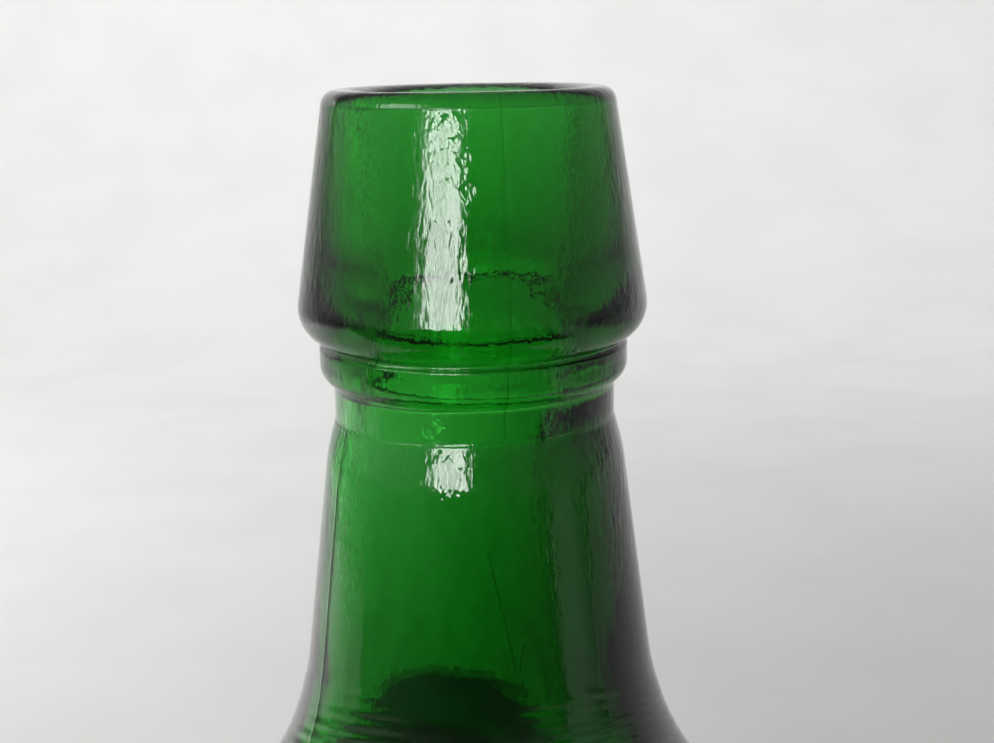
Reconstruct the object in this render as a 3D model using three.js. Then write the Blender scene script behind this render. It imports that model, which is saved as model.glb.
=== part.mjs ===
// An empty five-litre demijohn: one thick green glass bottle with a pear-shaped body, a flaring neck and a
// heavy tapered lip over a narrow ring. It stands on the ring of glass round its pushed-up base.
// Units are millimetres, +Z is up, and the origin is the middle of the base on the floor.

import * as THREE from 'three';

// Body
const HEIGHT = 342;
const BODY_RADIUS = 96;
const WIDEST_HEIGHT = 153;
const SHOULDER_RADIUS = 91;
const LOWER_BODY_RADIUS = 600;
const HEEL_RADIUS = 25;
const BODY_WALL = 3.8;

// Base
const BEARING_WIDTH = 9;
const PUSH_UP_HEIGHT = 11;
const BASE_THICKNESS = 6;

// Neck, with depths measured down from the lip's top and tapers in radius per millimetre of depth
const NECK_TOP_RADIUS = 18.4;
const NECK_TAPER = 0.1272;
const FLARE_RADIUS = 45;
const RING_RADIUS = 20.1;
const RING_EDGE_RADIUS = 2.8;
const RING_EDGE_DEPTH = 34.9;

// Lip
const LIP_TOP_RADIUS = 18.45;
const LIP_TAPER = 0.155;
const LIP_WIDEST_DEPTH = 27.5;
const LIP_UNDERSIDE_RADIUS = 4.8;
const LIP_EDGE_RADIUS = 2;

// Bore, straight for a cork, with a throat inside the lip
const MOUTH_RADIUS = 13.45;
const MOUTH_EDGE_RADIUS = 2.5;
const MOUTH_DEPTH = 18.8;
const THROAT_RADIUS = 12.75;
const THROAT_DEPTH = 27.3;
const NECK_BORE_RADIUS = 13.2;
const NECK_BORE_DEPTH = 47;
const NECK_BORE_TAPER = 0.05;
const BORE_FLARE_RADIUS = 38;

// Facets round the axis
const SIDES = 64;

const QUARTER_TURN = Math.PI / 2;

function point(radius, height) {
  return new THREE.Vector2(radius, height);
}

// Points of an arc in the outline's plane, counter-clockwise unless the angles run the other way.
function arc(centre, radius, fromAngle, toAngle, steps) {
  const clockwise = toAngle < fromAngle;
  const curve = new THREE.EllipseCurve(centre.x, centre.y, radius, radius, fromAngle, toAngle, clockwise);
  return curve.getPoints(steps);
}

// Radius of a shallow dome from its rise and the radius of its rim.
function domeRadius(rise, rim) {
  return (rim * rim + rise * rise) / (2 * rise);
}

// The arc that rounds the hollow between a tapered neck and the round shoulder below it: its centre, and the
// angles at which it leaves the shoulder and meets the neck.
function flareArc(neckStart, taper, shoulderCentre, shoulderRadius, radius) {
  const lean = Math.atan(taper);
  const down = point(Math.sin(lean), -Math.cos(lean));
  const out = point(Math.cos(lean), Math.sin(lean));
  const offset = neckStart.clone().addScaledVector(out, radius).sub(shoulderCentre);
  const reach = shoulderRadius + radius;
  const along = offset.dot(down);
  const travel = -along - Math.sqrt(along * along - offset.lengthSq() + reach * reach);
  const centre = neckStart.clone().addScaledVector(down, travel).addScaledVector(out, radius);
  const shoulderAngle = centre.clone().sub(shoulderCentre).angle();
  return { centre, shoulderAngle, neckAngle: lean };
}

// Centres and angles that the outside and the inside share
const shoulderCentre = point(BODY_RADIUS - SHOULDER_RADIUS, WIDEST_HEIGHT);
const lowerBodyCentre = point(BODY_RADIUS - LOWER_BODY_RADIUS, WIDEST_HEIGHT);
const heelReach = LOWER_BODY_RADIUS - HEEL_RADIUS;
const heelDrop = WIDEST_HEIGHT - HEEL_RADIUS;
const heelCentre = point(lowerBodyCentre.x + Math.sqrt(heelReach ** 2 - heelDrop ** 2), HEEL_RADIUS);
const heelAngle = -Math.asin(heelDrop / heelReach);

// Underside, body and shoulder, from the axis outwards and up to the foot of the neck
function outerBody() {
  const bearingInside = heelCentre.x - BEARING_WIDTH;
  const dome = domeRadius(PUSH_UP_HEIGHT, bearingInside);
  const domeCentre = point(0, PUSH_UP_HEIGHT - dome);
  const domeEdge = Math.acos(bearingInside / dome);
  const neckTop = point(NECK_TOP_RADIUS, HEIGHT - ringFootDepth());
  const flare = flareArc(neckTop, NECK_TAPER, shoulderCentre, SHOULDER_RADIUS, FLARE_RADIUS);
  return [
    ...arc(domeCentre, dome, QUARTER_TURN, domeEdge, 4),
    ...arc(heelCentre, HEEL_RADIUS, -QUARTER_TURN, heelAngle, 5),
    ...arc(lowerBodyCentre, LOWER_BODY_RADIUS, heelAngle, 0, 6),
    ...arc(shoulderCentre, SHOULDER_RADIUS, 0, flare.shoulderAngle, 8),
    ...arc(flare.centre, FLARE_RADIUS, flare.shoulderAngle + Math.PI, flare.neckAngle + Math.PI, 6),
  ];
}

// Angle on the ring's lower rounding where it runs into the neck
function ringFootAngle() {
  return -Math.acos((NECK_TOP_RADIUS - RING_RADIUS + RING_EDGE_RADIUS) / RING_EDGE_RADIUS);
}

function ringFootDepth() {
  return RING_EDGE_DEPTH - RING_EDGE_RADIUS * Math.sin(ringFootAngle());
}

// Ring and lip, from the neck up to the flat of the lip
function ringAndLip() {
  const ringCentre = point(RING_RADIUS - RING_EDGE_RADIUS, HEIGHT - RING_EDGE_DEPTH);
  const lean = Math.atan(LIP_TAPER);
  const lipRadiusAt = (depth) => LIP_TOP_RADIUS + LIP_TAPER * depth;
  const insetAt = (depth, inset) => point(lipRadiusAt(depth) - inset / Math.cos(lean), HEIGHT - depth);
  const undersideCentre = insetAt(LIP_WIDEST_DEPTH, LIP_UNDERSIDE_RADIUS);
  const grooveAngle = -Math.acos((RING_RADIUS - undersideCentre.x) / LIP_UNDERSIDE_RADIUS);
  return [
    ...arc(ringCentre, RING_EDGE_RADIUS, ringFootAngle(), 0, 3),
    ...arc(undersideCentre, LIP_UNDERSIDE_RADIUS, grooveAngle, lean, 4),
    ...arc(insetAt(LIP_EDGE_RADIUS, LIP_EDGE_RADIUS), LIP_EDGE_RADIUS, lean, QUARTER_TURN, 3),
  ];
}

// An S curve between two points of the bore, from straight down at its top to the given taper at its foot
function boreEase(top, foot, footTaper, steps) {
  const half = (top.y - foot.y) / 2;
  const leaving = point(top.x, top.y - half);
  const arriving = point(foot.x - footTaper * half, foot.y + half);
  return new THREE.CubicBezierCurve(top, leaving, arriving, foot).getPoints(steps);
}

// Mouth, throat and the inside of the neck, from the lip's flat down to the bore's flare
function bore() {
  const edgeCentre = point(MOUTH_RADIUS + MOUTH_EDGE_RADIUS, HEIGHT - MOUTH_EDGE_RADIUS);
  const mouthFoot = point(MOUTH_RADIUS, HEIGHT - MOUTH_DEPTH);
  const throat = point(THROAT_RADIUS, HEIGHT - THROAT_DEPTH);
  const neckBore = point(NECK_BORE_RADIUS, HEIGHT - NECK_BORE_DEPTH);
  return [
    ...arc(edgeCentre, MOUTH_EDGE_RADIUS, QUARTER_TURN, Math.PI, 3),
    ...boreEase(mouthFoot, throat, 0, 4),
    ...boreEase(throat, neckBore, NECK_BORE_TAPER, 5),
  ];
}

// Inside of the shoulder, body and base, from the foot of the neck down to the axis
function innerBody() {
  const neckBore = point(NECK_BORE_RADIUS, HEIGHT - NECK_BORE_DEPTH);
  const insideShoulder = SHOULDER_RADIUS - BODY_WALL;
  const flare = flareArc(neckBore, NECK_BORE_TAPER, shoulderCentre, insideShoulder, BORE_FLARE_RADIUS);
  const dome = domeRadius(PUSH_UP_HEIGHT + BASE_THICKNESS - BODY_WALL, heelCentre.x);
  const domeCentre = point(0, PUSH_UP_HEIGHT + BASE_THICKNESS - dome);
  const domeEdge = Math.acos(heelCentre.x / dome);
  return [
    ...arc(flare.centre, BORE_FLARE_RADIUS, flare.neckAngle + Math.PI, flare.shoulderAngle + Math.PI, 5),
    ...arc(shoulderCentre, insideShoulder, flare.shoulderAngle, 0, 7),
    ...arc(lowerBodyCentre, LOWER_BODY_RADIUS - BODY_WALL, 0, heelAngle, 5),
    ...arc(heelCentre, HEEL_RADIUS - BODY_WALL, heelAngle, -QUARTER_TURN, 4),
    ...arc(domeCentre, dome, domeEdge, QUARTER_TURN, 3),
  ];
}

// One closed outline from the axis, round the glass and back to the axis; neighbouring arcs share end points.
function glassOutline() {
  const outline = [...outerBody(), ...ringAndLip(), ...bore(), ...innerBody()];
  outline[0].x = 0;
  outline[outline.length - 1].x = 0;
  const shortest = 0.01;
  return outline.filter((corner, i) => i === 0 || corner.distanceTo(outline[i - 1]) > shortest);
}

function demijohn() {
  const glass = new THREE.MeshStandardMaterial({
    color: 0x1f7a24,
    roughness: 0.06,
    metalness: 0,
    transparent: true,
    opacity: 0.45,
  });
  const mesh = new THREE.Mesh(new THREE.LatheGeometry(glassOutline(), SIDES), glass);
  mesh.name = 'demijohn';
  mesh.rotation.x = QUARTER_TURN;
  return mesh;
}

const part = new THREE.Group();
part.add(demijohn());

export default part;
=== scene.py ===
import math

import bpy
from mathutils import Euler, Matrix, Vector


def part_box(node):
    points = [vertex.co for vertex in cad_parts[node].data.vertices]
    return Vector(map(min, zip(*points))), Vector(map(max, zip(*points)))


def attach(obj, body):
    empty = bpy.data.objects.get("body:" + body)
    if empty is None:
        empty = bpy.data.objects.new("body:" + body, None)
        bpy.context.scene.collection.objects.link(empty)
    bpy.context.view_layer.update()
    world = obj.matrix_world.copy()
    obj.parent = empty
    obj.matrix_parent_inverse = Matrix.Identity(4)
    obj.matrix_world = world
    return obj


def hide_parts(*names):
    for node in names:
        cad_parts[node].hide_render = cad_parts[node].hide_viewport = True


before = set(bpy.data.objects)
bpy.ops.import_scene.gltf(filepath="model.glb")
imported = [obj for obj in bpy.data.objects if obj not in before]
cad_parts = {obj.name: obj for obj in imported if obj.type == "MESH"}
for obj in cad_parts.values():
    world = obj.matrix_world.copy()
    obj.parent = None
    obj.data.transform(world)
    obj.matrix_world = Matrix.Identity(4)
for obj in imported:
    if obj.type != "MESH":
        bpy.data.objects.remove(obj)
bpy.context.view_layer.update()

# Demijohn
# One thick bottle of green glass. Its lip and ring are pressed in a small mould and the rest is blown below
# them, so fine joint lines run round the neck and up the sides, and the inside of the glass is wavy.
mm = 0.001
bottle_low, bottle_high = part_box("demijohn")
height = bottle_high.z
body_radius = bottle_high.x
widest_height = 153 * mm
shoulder_radius = 91 * mm
lower_body_radius = 600 * mm
heel_radius = 25 * mm
wall = 3.8 * mm
bearing_width = 9 * mm
push_up = 11 * mm
base_thickness = 6 * mm

neck_top_radius = 18.4 * mm
neck_taper = 0.1272
flare_radius = 45 * mm
collar_radius = 18.36 * mm
collar_depth = 41.6 * mm
collar_slope_radius = 18.56 * mm
collar_slope_depth = 42.9 * mm
collar_slope = 0.28
collar_end = 51 * mm

ring_radius = 20.1 * mm
ring_edge = 2.8 * mm
ring_edge_depth = 34.9 * mm
ring_top_edge = 0.4 * mm
ring_top_drop = 0.9 * mm
ring_top_turn = math.radians(60)
groove_radius = ring_radius - 0.45 * mm

lip_top_radius = 18.45 * mm
lip_taper = 0.155
lip_widest_depth = 27.5 * mm
lip_underside = 4.8 * mm
lip_edge = 2 * mm
lip_joint_foot = 3.2 * mm

mouth_radius = 13.45 * mm
mouth_dish = 6 * mm
mouth_edge = 0.6 * mm
mouth_depth = 18.8 * mm
throat_radius = 12.75 * mm
throat_depth = 27.3 * mm
neck_bore_radius = 13.2 * mm
neck_bore_depth = 47 * mm
neck_bore_taper = 0.05
bore_flare_radius = 38 * mm
sides = 160


def deselect():
    bpy.ops.object.select_all(action="DESELECT")


def at(radius, z):
    return Vector((radius, 0, z))


class Outline:
    """Half of a turned section, drawn point by point in the XZ plane as a chain of edges."""

    def __init__(self, name, radius, z):
        deselect()
        bpy.ops.mesh.primitive_plane_add(size=mm)
        self.piece = bpy.context.object
        self.piece.name = name
        bpy.ops.object.mode_set(mode="EDIT")
        bpy.ops.mesh.merge(type="CENTER")
        bpy.ops.transform.translate(value=(radius, 0, z))
        self.tip = at(radius, z)

    def line(self, radius, z, steps=1):
        step = (at(radius, z) - self.tip) / steps
        for _ in range(steps):
            bpy.ops.mesh.extrude_region_move(TRANSFORM_OT_translate={"value": step})
        self.tip = at(radius, z)

    def arc(self, centre, turn, steps):
        """Runs round a centre, counter-clockwise for a positive turn."""
        bpy.ops.mesh.spin(steps=steps, angle=turn, center=centre, axis=(0, 1, 0))
        self.tip = Matrix.Rotation(-turn, 3, "Y") @ (self.tip - centre) + centre

    def ease(self, radius, z, slope_in, slope_out, steps):
        """Runs to a point on an S curve, with the slope in radius by height given at both ends."""
        start = self.tip
        end = at(radius, z)
        reach = (end.z - start.z) / 2
        first = start + at(slope_in * reach, reach)
        second = end - at(slope_out * reach, reach)
        for step in range(1, steps + 1):
            t = step / steps
            s = 1 - t
            spot = start * s ** 3 + first * 3 * t * s ** 2 + second * 3 * t ** 2 * s + end * t ** 3
            self.line(spot.x, spot.z)

    def turned(self):
        """Spins the outline into a closed body about the Z axis."""
        bpy.ops.mesh.select_all(action="SELECT")
        bpy.ops.mesh.spin(steps=sides, angle=math.tau, center=(0, 0, 0), axis=(0, 0, 1))
        bpy.ops.mesh.select_all(action="SELECT")
        bpy.ops.mesh.remove_doubles(threshold=0.001 * mm)
        bpy.ops.mesh.normals_make_consistent(inside=False)
        bpy.ops.object.mode_set(mode="OBJECT")
        bpy.ops.object.shade_smooth()
        return self.piece


def flare_between(neck, taper, centre, radius, flare):
    """Centre of the arc that rounds the hollow between a tapered neck and a round shoulder, and the angle
    where it leaves the shoulder."""
    lean = math.atan(taper)
    down = at(math.sin(lean), -math.cos(lean))
    out = at(math.cos(lean), math.sin(lean))
    offset = neck + out * flare - centre
    along = offset.dot(down)
    travel = -along - math.sqrt(along ** 2 - offset.length_squared + (radius + flare) ** 2)
    middle = neck + down * travel + out * flare
    reach = middle - centre
    return middle, math.atan2(reach.z, reach.x)


# Underside, body and shoulder
quarter = math.pi / 2
shoulder_centre = at(body_radius - shoulder_radius, widest_height)
lower_centre = at(body_radius - lower_body_radius, widest_height)
heel_drop = widest_height - heel_radius
heel_reach = lower_body_radius - heel_radius
heel_centre = at(lower_centre.x + math.sqrt(heel_reach ** 2 - heel_drop ** 2), heel_radius)
heel_angle = math.asin(heel_drop / heel_reach)
bearing_inside = heel_centre.x - bearing_width
dome = (bearing_inside ** 2 + push_up ** 2) / (2 * push_up)
ring_foot = math.acos((neck_top_radius - ring_radius + ring_edge) / ring_edge)
neck_top = at(neck_top_radius, height - ring_edge_depth - ring_edge * math.sin(ring_foot))
flare_centre, flare_angle = flare_between(
    neck_top, neck_taper, shoulder_centre, shoulder_radius, flare_radius)
outline = Outline("demijohn_glass", 0, push_up)
outline.arc(at(0, push_up - dome), -math.asin(bearing_inside / dome), 10)
outline.line(heel_centre.x, 0, 3)
outline.arc(heel_centre, quarter - heel_angle, 12)
outline.arc(lower_centre, heel_angle, 18)
outline.arc(shoulder_centre, flare_angle, 24)
outline.arc(flare_centre, math.atan(neck_taper) - flare_angle, 110)

# Neck, with a slightly narrower collar under the ring
collar_foot_radius = neck_top_radius + neck_taper * (neck_top.z - height + collar_end)
outline.line(collar_foot_radius, height - collar_end, 20)
outline.ease(collar_slope_radius, height - collar_slope_depth, -neck_taper, -collar_slope, 24)
outline.ease(collar_radius, height - collar_depth, -collar_slope, 0, 20)
outline.line(neck_top.x, neck_top.z, 5)

# Ring and lip
lip_lean = math.atan(lip_taper)


def lip_inset(depth, inset):
    return at(lip_top_radius + lip_taper * depth - inset / math.cos(lip_lean), height - depth)


underside_centre = lip_inset(lip_widest_depth, lip_underside)
groove_angle = math.acos((groove_radius - underside_centre.x) / lip_underside)
groove_z = underside_centre.z - lip_underside * math.sin(groove_angle)
ring_top_z = groove_z - ring_top_drop
lip_foot = lip_inset(lip_joint_foot, 0)
lip_edge_centre = lip_inset(lip_edge, lip_edge)
lip_edge_start = lip_edge_centre + at(math.cos(lip_lean), math.sin(lip_lean)) * lip_edge
outline.arc(at(ring_radius - ring_edge, height - ring_edge_depth), ring_foot, 8)
outline.line(ring_radius, ring_top_z, 6)
outline.arc(at(ring_radius - ring_top_edge, ring_top_z), ring_top_turn, 5)
outline.line(groove_radius, groove_z, 2)
outline.arc(underside_centre, groove_angle + lip_lean, 14)
outline.line(lip_foot.x, lip_foot.z, 20)
outline.line(lip_edge_start.x, lip_edge_start.z, 14)
outline.arc(lip_edge_centre, quarter - lip_lean, 8)

# Mouth with its dished top, bore and inside, back down to the axis
dish_turn = math.asin((lip_edge_centre.x - mouth_radius - mouth_edge) / (mouth_dish - mouth_edge))
dish_centre = at(lip_edge_centre.x, height - mouth_dish)
mouth_edge_z = dish_centre.z + (mouth_dish - mouth_edge) * math.cos(dish_turn)
inside_shoulder = shoulder_radius - wall
neck_bore = at(neck_bore_radius, height - neck_bore_depth)
bore_flare_centre, bore_flare_angle = flare_between(
    neck_bore, neck_bore_taper, shoulder_centre, inside_shoulder, bore_flare_radius)
bore_lean = math.atan(neck_bore_taper)
bore_end = bore_flare_centre - at(math.cos(bore_lean), math.sin(bore_lean)) * bore_flare_radius
floor_rise = push_up + base_thickness - wall
floor_dome = (heel_centre.x ** 2 + floor_rise ** 2) / (2 * floor_rise)
outline.arc(dish_centre, dish_turn, 8)
outline.arc(at(mouth_radius + mouth_edge, mouth_edge_z), quarter - dish_turn, 6)
outline.line(mouth_radius, height - mouth_depth, 14)
outline.ease(throat_radius, height - throat_depth, 0, 0, 14)
outline.ease(neck_bore_radius, height - neck_bore_depth, 0, -neck_bore_taper, 16)
outline.line(bore_end.x, bore_end.z, 18)
outline.arc(bore_flare_centre, bore_flare_angle - bore_lean, 24)
outline.arc(shoulder_centre, -bore_flare_angle, 18)
outline.arc(lower_centre, -heel_angle, 12)
outline.arc(heel_centre, heel_angle - quarter, 8)
outline.arc(at(0, push_up + base_thickness - floor_dome), math.asin(heel_centre.x / floor_dome), 10)
bottle = outline.turned()


def smooth(low, high, value):
    t = min(1, max(0, (value - low) / (high - low)))
    return t * t * (3 - 2 * t)


def depth_of(point):
    """Millimetres below the top of the lip."""
    return (height - point.co.z) / mm


def azimuth_of(point):
    """Degrees round the axis from the front, positive to the right."""
    return math.degrees(math.atan2(point.co.x, -point.co.y))


def is_inside(point):
    facing = point.normal.x * point.co.x + point.normal.y * point.co.y
    return facing < 0 and point.co.z > heel_radius


def pushed(name, amount, share, direction="NORMAL", texture=None, stretch=None):
    """Moves the bottle's points by a share of an amount, with a Displace modifier that is then applied."""
    group = bottle.vertex_groups.new(name=name)
    for point in bottle.data.vertices:
        weight = share(point)
        if weight > 0:
            group.add([point.index], weight, "REPLACE")
    press = bottle.modifiers.new(name, "DISPLACE")
    press.vertex_group = name
    press.direction = direction
    press.strength = amount
    press.mid_level = 0
    if texture:
        press.texture = texture
        press.mid_level = 0.5
        press.texture_coords = "OBJECT"
        press.texture_coords_object = stretch
    bpy.context.view_layer.objects.active = bottle
    bpy.ops.object.modifier_apply(modifier=name)
    bottle.vertex_groups.remove(bottle.vertex_groups[name])


# The blown bore stands a little to one side of the pressed mouth, and where it opens out the glass settled
# thicker at the back. Each grows, holds and fades again between four depths in millimetres.
bore_lean_aside = -2.6 * mm
lean_depths = (28, 52, 84, 135)
settled_thickness = 3 * mm
settled_depths = (85, 100, 101, 140)
settled_azimuth = 164


def between(start, full, fading, end, depth):
    return smooth(start, full, depth) * (1 - smooth(fading, end, depth))


def leaning(point):
    return is_inside(point) * between(*lean_depths, depth_of(point))


def settled(point):
    around = max(0, math.cos(math.radians(azimuth_of(point) - settled_azimuth)))
    return is_inside(point) * around * between(*settled_depths, depth_of(point))


pushed("leaning_bore", bore_lean_aside, leaning, "X")
pushed("settled_glass", settled_thickness, settled)

# Joint lines of the lip mould and the body mould, as low ridges, with depths and widths in millimetres
joint_height = 0.06 * mm
upper_joint_depth = 1.8
upper_joint_width = 0.2
upper_joint_share = 0.7
lower_joint_depth = 42
lower_joint_width = 0.22
lower_joint_tilt = 0.03
seam_width = 0.3
seam_cuts = (-0.32, -0.16, 0, 0.16, 0.32)
lip_seam_azimuth = 12.4
lip_seam_start = 1
lip_seam_share = 0.6
body_seam_azimuth = -61.5
body_seam_end = 325


def seam_columns(azimuth):
    """Cuts fine columns of points along a mould seam that runs up both sides, through the axis."""
    turn = math.radians(azimuth)
    across = Vector((math.cos(turn), math.sin(turn), 0))
    for cut in seam_cuts:
        bpy.ops.object.mode_set(mode="EDIT")
        bpy.ops.mesh.select_all(action="SELECT")
        bpy.ops.mesh.bisect(plane_co=across * cut * mm, plane_no=across)
        bpy.ops.object.mode_set(mode="OBJECT")
    return across


def ridge(distance, width):
    return max(0, 1 - abs(distance) / width)


lip_seam = seam_columns(lip_seam_azimuth)
body_seam = seam_columns(body_seam_azimuth)


def joint_lines(point):
    if is_inside(point):
        return 0
    depth = depth_of(point)
    joint_depth = lower_joint_depth - lower_joint_tilt * point.co.x / mm
    lower = ridge(depth - joint_depth, lower_joint_width)
    upper = ridge(depth - upper_joint_depth, upper_joint_width)
    on_lip = ridge(point.co.dot(lip_seam) / mm, seam_width) * (lip_seam_start < depth < joint_depth)
    on_body = ridge(point.co.dot(body_seam) / mm, seam_width) * (joint_depth < depth < body_seam_end)
    return max(lower, upper_joint_share * upper, lip_seam_share * on_lip, on_body)


pushed("joint_lines", joint_height, joint_lines)

# Ripples where the soft glass settled against the shoulder of the mould, in millimetres of depth. They dip
# to the front, wander and break up round the bottle, and leave the middle of the front smooth.
ripple_height = 0.16 * mm
ripple_start = 79.5
ripple_dip = 7
ripple_spacing = 1.5
ripple_half_width = 0.38 * ripple_spacing
ripple_count = 10
ripple_wander = 0.6
ripple_faintest = 0.25
ripple_front_share = 0.8
ripple_back_share = 0.15
smooth_middle = -6
rippled_depths = (70, 106)


def ripples(point):
    depth = depth_of(point)
    if is_inside(point) or not rippled_depths[0] < depth < rippled_depths[1]:
        return 0
    azimuth = azimuth_of(point)
    facing = math.cos(math.radians(azimuth))
    total = 0
    for number in range(ripple_count):
        wander = ripple_wander * math.sin(math.radians(azimuth * 1.7 + 40 * number))
        line = ripple_start - ripple_dip * facing + ripple_spacing * number + wander
        swell = math.cos(min(1, abs(depth - line) / ripple_half_width) * math.pi) * 0.5 + 0.5
        whole = math.sin(math.radians(azimuth * (3.1 + 0.23 * number) + 77 * number)) * 0.5 + 0.5
        total += swell * (ripple_faintest + (1 - ripple_faintest) * whole)
    to_back = smooth(60, 150, abs(azimuth))
    front_share = ripple_front_share * smooth(12, 26, abs(azimuth - smooth_middle))
    return min(1, total) * (front_share * (1 - to_back) + ripple_back_share * to_back)


pushed("ripples", ripple_height, ripples)

# Waves of the blown inside, drawn out along the bottle: the height, width and length of the long ones and
# the short ones, in millimetres. The pressed mouth has less of them.
wave_sizes = ((0.35, 6, 28), (0.1, 2.4, 8))
mouth_wave_share = 0.35
full_wave_depths = (30, 44)


def waves(point):
    below_mouth = smooth(*full_wave_depths, depth_of(point))
    return is_inside(point) * (mouth_wave_share + (1 - mouth_wave_share) * below_mouth)


swell_pattern = bpy.data.textures.new("swell", "CLOUDS")
swell_pattern.noise_scale = 1.0
swell_pattern.noise_depth = 3
for wave_height, across, along in wave_sizes:
    stretch = bpy.data.objects.new("stretch", None)
    bpy.context.scene.collection.objects.link(stretch)
    stretch.scale = Vector((across, across, along)) * mm
    bpy.context.view_layer.update()
    pushed("waves", wave_height * mm, waves, texture=swell_pattern, stretch=stretch)
    bpy.data.objects.remove(stretch)


class Wire:
    """One output in a node tree, so that sums on it are written as plain maths."""

    def __init__(self, tree, socket=None):
        self.tree = tree
        self.socket = socket

    def node(self, kind, settings=None, inputs=None, output=0):
        made = self.tree.nodes.new(kind)
        for name, value in (settings or {}).items():
            setattr(made, name, value)
        for name, value in (inputs or {}).items():
            if isinstance(value, Wire):
                self.tree.links.new(value.socket, made.inputs[name])
            else:
                made.inputs[name].default_value = value
        return Wire(self.tree, made.outputs[output] if made.outputs else None)

    def maths(self, operation, first, second=0.0):
        return self.node("ShaderNodeMath", {"operation": operation}, {0: first, 1: second})

    def above(self, low, high):
        """Eases from 0 at the low value to 1 at the high one, or the other way if low is the greater."""
        ends = {"Value": self, "From Min": low, "From Max": high}
        return self.node("ShaderNodeMapRange", {"interpolation_type": "SMOOTHSTEP"}, ends)

    def along(self, axis):
        return self.node("ShaderNodeSeparateXYZ", inputs={"Vector": self}, output=axis)

    def mixed(self, first, second):
        """Blends two colours by this share; 0, 6 and 7 are the Mix node's share and colours, 2 the blend."""
        return self.node("ShaderNodeMix", {"data_type": "RGBA"}, {0: self, 6: first, 7: second}, output=2)

    def __abs__(self):
        return self.maths("ABSOLUTE", self)

    def __add__(self, other):
        return self.maths("ADD", self, other)

    def __sub__(self, other):
        return self.maths("SUBTRACT", self, other)

    def __rsub__(self, other):
        return self.maths("SUBTRACT", other, self)

    def __mul__(self, other):
        return self.maths("MULTIPLY", self, other)

    __radd__ = __add__
    __rmul__ = __mul__


# Green bottle glass: its own colour is in its depth, with grain from the mould, streaks, seeds and scars
absorb_colour = (0.03, 0.72, 0.10, 1)
absorb_density = 340
clear_colour = (1, 1, 1, 1)
streak_colour = (0.86, 0.93, 0.86, 1)
line_colour = (0.12, 0.2, 0.12, 1)
grain_strength = 0.5
grain_depth = 0.22 * mm
grain_scale = 1300
grain_stretch = (1, 1, 0.4)
calm_grain = 0.5
blown_grain = 0.25
streak_scale = 420
streak_stretch = (1, 1, 0.12)
smear_scale = 60
patch_scale = 130
seed_scale = 110
fine_line = 0.14
bore_side = 16.5
outer_side = 17
glass = bpy.data.materials.new("green_bottle_glass")
glass.use_nodes = True
glass.node_tree.nodes.clear()
sheet = Wire(glass.node_tree)
place = sheet.node("ShaderNodeTexCoord", output="Object")
drawn_out = sheet.node("ShaderNodeMapping", inputs={"Vector": place, "Scale": streak_stretch})
upright = sheet.node("ShaderNodeMapping", inputs={"Vector": place, "Scale": grain_stretch})
x = place.along("X") * (1 / mm)
y = place.along("Y") * (1 / mm)
depth = (height - place.along("Z")) * (1 / mm)
outside = (x * x + y * y).above(bore_side ** 2, outer_side ** 2)
smear = sheet.node("ShaderNodeTexNoise", inputs={"Vector": place, "Scale": smear_scale, "Detail": 3.0})
streaks = sheet.node("ShaderNodeTexNoise", inputs={"Vector": drawn_out, "Scale": streak_scale, "Detail": 3.0})
grain = sheet.node("ShaderNodeTexNoise", inputs={"Vector": upright, "Scale": grain_scale, "Detail": 2.0})
patches = sheet.node("ShaderNodeTexNoise", inputs={"Vector": place, "Scale": patch_scale, "Detail": 2.0})


def seam_line(across, half_width):
    off_plane = sheet.node(
        "ShaderNodeVectorMath", {"operation": "DOT_PRODUCT"}, {0: place, 1: across / mm}, output="Value")
    return abs(off_plane).above(half_width, half_width * 0.4)


def scar(x_top, depth_top, x_foot, depth_foot):
    """A thin line down the front of the neck, given by its two ends in millimetres."""
    middle = x_top + (depth - depth_top) * ((x_foot - x_top) / (depth_foot - depth_top))
    length = depth.above(depth_top - 0.5, depth_top + 1) * depth.above(depth_foot + 0.5, depth_foot - 1)
    return abs(x - middle).above(fine_line, fine_line * 0.4) * length * y.above(0, -1)


# Fine dark lines: the lip's seam down to the lower joint, the joint at the rim, two scars and the seeds
lip_joint = seam_line(lip_seam, fine_line) * depth.above(42.2, 41.6) * (0.15 + 0.55 * smear.above(0.4, 0.6))
rim_joint = abs(depth - upper_joint_depth).above(0.16, 0.05) * 0.6
scars = scar(1.6, 54.8, 4.8, 69.7) + scar(5.8, 66, 5.2, 70.1)
cells = {"Vector": place, "Scale": seed_scale}
seed_size = sheet.node("ShaderNodeTexVoronoi", inputs=cells, output="Distance")
seed_colour = sheet.node("ShaderNodeTexVoronoi", inputs=cells, output="Color")
seed_pick = sheet.node("ShaderNodeSeparateColor", inputs={"Color": seed_colour})
seeds = seed_size.above(0.045, 0.02) * seed_pick.above(0.7, 0.72)
lines = sheet.maths("MINIMUM", outside * (lip_joint + rim_joint + 0.85 * scars + 0.5 * seeds), 1.0)

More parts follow.
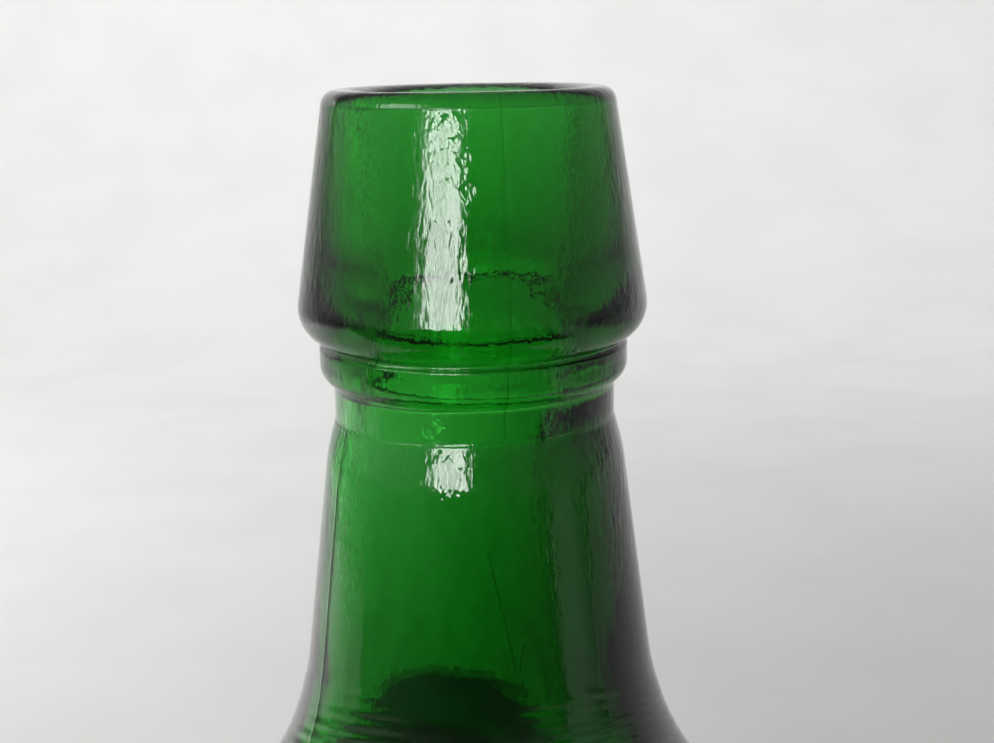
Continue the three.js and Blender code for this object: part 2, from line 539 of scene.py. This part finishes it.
# Grain of the pressed glass, in patches and strongest in one rough spot on the lip; the blown glass has less
rough_patch = patches.above(0.42, 0.66)
rough_spot_place = Vector((0.25 * mm, -20.2 * mm, height - 11.3 * mm))
from_spot = sheet.node(
    "ShaderNodeVectorMath", {"operation": "DISTANCE"}, {0: place, 1: rough_spot_place}, output="Value")
rough_spot = from_spot.above(1.5 * mm, 0.9 * mm)
pressed_share = blown_grain + (1 - blown_grain) * depth.above(66, 54)
grain_relief = grain * pressed_share * (calm_grain + (1 - calm_grain) * rough_patch + 1.2 * rough_spot)
relief = sheet.node("ShaderNodeBump", inputs={
    "Height": grain_relief, "Strength": grain_strength, "Distance": grain_depth})
streaky = streaks.above(0.45, 0.75).mixed(clear_colour, streak_colour)
body = sheet.node("ShaderNodeBsdfPrincipled", inputs={
    "Base Color": lines.mixed(streaky, line_colour),
    "Roughness": 0.012 + 0.02 * smear,
    "IOR": 1.52,
    "Transmission Weight": 1.0,
    "Normal": relief,
})
tint = sheet.node("ShaderNodeVolumeAbsorption", inputs={"Color": absorb_colour, "Density": absorb_density})
sheet.node("ShaderNodeOutputMaterial", inputs={"Surface": body, "Volume": tint})
bottle.data.materials.append(glass)
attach(bottle, "root")
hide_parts("demijohn")

# Floor
# A wide sheet of pale background paper, laid under the bottle and swept up behind it in one big curve, and
# a second flat sheet in front, which the glass doesn't mirror. They aren't part of the bottle.
paper_width = 8
paper_front = -0.15
floor_front = -3.6
paper_back = 2.4
paper_rise = 3
paper_curve = 1.0
paper_colour = (0.8, 0.8, 0.79, 1)
paper_shade = (0.77, 0.77, 0.76, 1)
cockle_scale = 9


def paper_sheet(name, front, back):
    """A flat sheet on the floor, left in edit mode with all of it selected."""
    deselect()
    bpy.ops.mesh.primitive_plane_add(size=1)
    bpy.context.object.name = name
    bpy.ops.object.mode_set(mode="EDIT")
    bpy.ops.transform.resize(value=(paper_width, back - front, 1))
    bpy.ops.transform.translate(value=(0, (back + front) / 2, 0))
    return bpy.context.object


paper = paper_sheet("paper_sweep", paper_front, paper_back)


def select_back_edge():
    bpy.ops.object.mode_set(mode="OBJECT")
    for edge in paper.data.edges:
        ends = [paper.data.vertices[v].co for v in edge.vertices]
        edge.select = all(end.y > paper_back - 0.1 and end.z < 0.1 for end in ends)
    bpy.ops.object.mode_set(mode="EDIT")


bpy.ops.mesh.select_mode(type="EDGE")
bpy.ops.mesh.select_all(action="DESELECT")
select_back_edge()
bpy.ops.mesh.extrude_region_move(TRANSFORM_OT_translate={"value": (0, 0, paper_rise)})
bpy.ops.mesh.select_all(action="DESELECT")
select_back_edge()
bpy.ops.mesh.bevel(offset=paper_curve, segments=24, affect="EDGES")
bpy.ops.object.mode_set(mode="OBJECT")
bpy.ops.object.shade_smooth()
front_floor = paper_sheet("front_floor", floor_front, paper_front)
bpy.ops.object.mode_set(mode="OBJECT")
front_floor.visible_glossy = False

paper_finish = bpy.data.materials.new("pale_paper")
paper_finish.use_nodes = True
paper_finish.node_tree.nodes.clear()
fibre = Wire(paper_finish.node_tree)
spread = fibre.node("ShaderNodeTexCoord", output="Object")
cockle = fibre.node("ShaderNodeTexNoise", inputs={"Vector": spread, "Scale": cockle_scale, "Detail": 3.0})
matt = fibre.node("ShaderNodeBsdfPrincipled", inputs={
    "Base Color": cockle.above(0.35, 0.7).mixed(paper_colour, paper_shade),
    "Roughness": 0.9,
})
fibre.node("ShaderNodeOutputMaterial", inputs={"Surface": matt})
for laid in (paper, front_floor):
    laid.data.materials.append(paper_finish)

# Lights
# A long lamp behind the bottle washes the paper, a softbox lights the floor on the left, and a window in
# front on the left is made of upright strips, with a softbox above it. The room is dim, lighter at the sides.
back_place = Vector((-0.3, 1.55, 1.3))
back_aim = Vector((-0.1, 2.4, 0.45))
back_size = (6.4, 0.6)
back_power = 32
left_place = Vector((-0.9, 0.65, 0.65))
left_aim = Vector((-0.45, 0.75, 0))
left_size = (0.4, 0.8)
left_power = 6
window_distance = 1.5
window_rise = 7.5
window_tall = 0.4
window_left = -37
window_right = -4.5
window_radiance = 14
strip_turn = 2.5
curtain_left = (-34, -25)
curtain_right = (-9, -3)
curtain_leak = 0.06
bar_azimuth = -18.5
bar_half_width = 4
bar_shade = 0.45
high_azimuth = -58
high_rise = 28
high_size = (0.9, 0.5)
high_radiance = 4
lip_middle = Vector((0, 0, height - 15 * mm))


def panel(name, stand, aim, size, power):
    lamp = bpy.data.lights.new(name, "AREA")
    lamp.shape = "RECTANGLE"
    lamp.size = size[0]
    lamp.size_y = size[1]
    lamp.energy = power
    holder = bpy.data.objects.new(name, lamp)
    bpy.context.scene.collection.objects.link(holder)
    holder.location = stand
    holder.rotation_euler = (aim - stand).to_track_quat("-Z", "Y").to_euler()
    holder.visible_camera = False
    return holder


def front_panel(name, azimuth, rise, size, radiance):
    """A panel that faces the lip, by degrees to the right of the front and degrees up."""
    turn = math.radians(azimuth)
    towards = Vector((math.sin(turn), -math.cos(turn), math.tan(math.radians(rise))))
    power = radiance * math.pi * size[0] * size[1]
    panel(name, lip_middle + towards * window_distance, lip_middle, size, power)


panel("back_lamp", back_place, back_aim, back_size, back_power)
left_softbox = panel("left_softbox", left_place, left_aim, left_size, left_power)
left_softbox.visible_glossy = False
left_softbox.visible_transmission = False
strip_size = (window_distance * math.radians(strip_turn), window_tall)
for number in range(round((window_right - window_left) / strip_turn)):
    azimuth = window_left + strip_turn * (number + 0.5)
    past_left = curtain_leak + (1 - curtain_leak) * smooth(*curtain_left, azimuth)
    before_right = 1 - smooth(*curtain_right, azimuth)
    past_bar = 1 - bar_shade * ridge(azimuth - bar_azimuth, bar_half_width)
    strip_radiance = window_radiance * past_left * before_right * past_bar
    front_panel("window_strip", azimuth, window_rise, strip_size, strip_radiance)
front_panel("high_softbox", high_azimuth, high_rise, high_size, high_radiance)

# The room's own glow: up, to the left and right, more so behind, dim below the horizon apart from a low pale
# wall at the right in front, and pale where the camera looks past the paper
room_light = 0.1
room_left = 0.36
room_right = 0.2
room_behind = 1.5
room_up = 0.15
room_below = 0.35
room_wall = 0.3
room_seen = 0.8
room = bpy.data.worlds.new("studio")
bpy.context.scene.world = room
room.use_nodes = True
room.node_tree.nodes.clear()
sky = Wire(room.node_tree)
heading = sky.node("ShaderNodeTexCoord", output="Generated")
to_right = heading.along("X")
to_back = heading.along("Y")
to_top = heading.along("Z")
on_left = sky.maths("MAXIMUM", to_right * -1, 0.0)
on_right = sky.maths("MAXIMUM", to_right, 0.0)
overhead = sky.maths("MAXIMUM", to_top, 0.0)
behind = sky.maths("MAXIMUM", to_back, 0.0)
at_sides = room_left * on_left * on_left + room_right * on_right * on_right
above_floor = to_top.above(-0.12, 0.02)
dimmed_below = room_below + (1 - room_below) * above_floor
all_round = (room_light + at_sides * (1 + room_behind * behind)) * dimmed_below
low_wall = to_right.above(0.8, 0.84) * to_right.above(1.0, 0.93) * to_back.above(0.1, -0.2)
glow = all_round + room_up * overhead * overhead * overhead + room_wall * low_wall * (1 - above_floor)
seen = sky.node("ShaderNodeLightPath", output="Is Camera Ray")
backdrop = sky.node("ShaderNodeBackground", inputs={
    "Color": (1, 1, 1, 1), "Strength": glow + seen * (room_seen - glow)})
sky.node("ShaderNodeOutputWorld", inputs={"Surface": backdrop})
bpy.context.scene.view_settings.view_transform = "Standard"

# Camera
# It stands close in front, a little above the lip, and looks slightly down on the lip and neck, with its
# top leaning a little to one side.
camera_place = Vector((3.02 * mm, -194.9 * mm, height + 6.4 * mm))
camera_pitch = math.radians(12.53)
camera_roll = math.radians(0.97)
lens = bpy.data.cameras.new("camera")
lens.sensor_width = 36
lens.lens = 54.9
camera = bpy.data.objects.new("camera", lens)
bpy.context.scene.collection.objects.link(camera)
camera.location = camera_place
pitch = Euler((quarter - camera_pitch, 0, 0)).to_quaternion()
roll = Euler((0, 0, -camera_roll)).to_quaternion()
camera.rotation_mode = "QUATERNION"
camera.rotation_quaternion = pitch @ roll
bpy.context.scene.camera = camera
